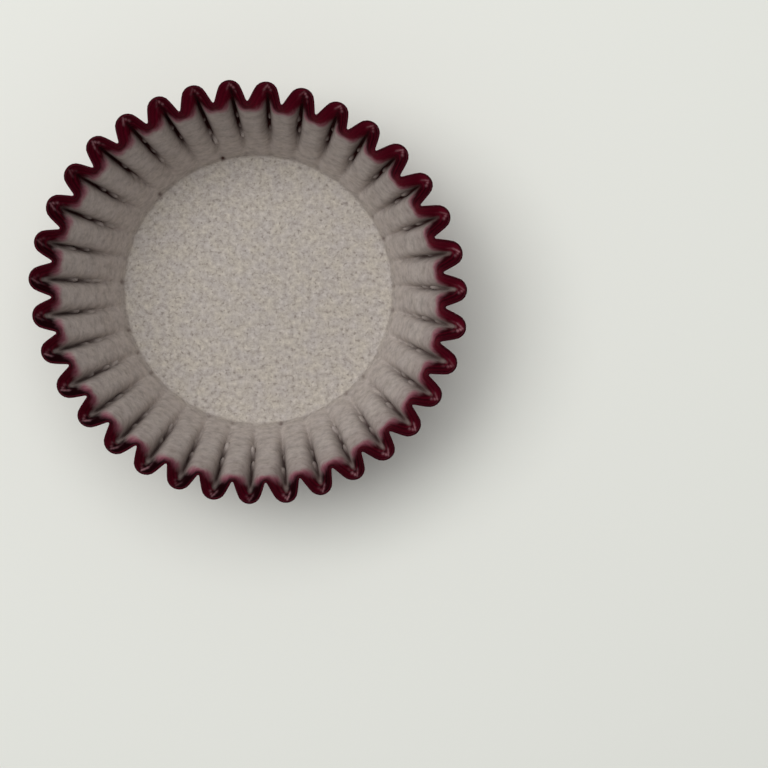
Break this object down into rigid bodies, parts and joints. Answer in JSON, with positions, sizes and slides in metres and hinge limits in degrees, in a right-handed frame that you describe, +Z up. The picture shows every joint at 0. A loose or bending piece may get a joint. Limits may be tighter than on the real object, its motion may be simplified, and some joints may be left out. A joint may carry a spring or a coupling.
{
  "type": "cupcake liner",
  "caption": "Fluted paper baking cup with a flat round base and a flaring pleated wall, open at the top; it lines a muffin tin or stands on its base.",
  "frame": {"origin": "middle of the base's underside, on the surface that the cup stands on", "axes": "+Z up along the cup's axis, from the base to the mouth; +X through the middle of an outward fold"},
  "size_m": [0.0727, 0.0728, 0.0321],
  "materials": {
    "paper": "matt greaseproof paper, maroon outside and at the rim, unprinted grey beige inside"
  },
  "bodies": {
    "root": {"liner": "paper"}
  },
  "joints": []
}
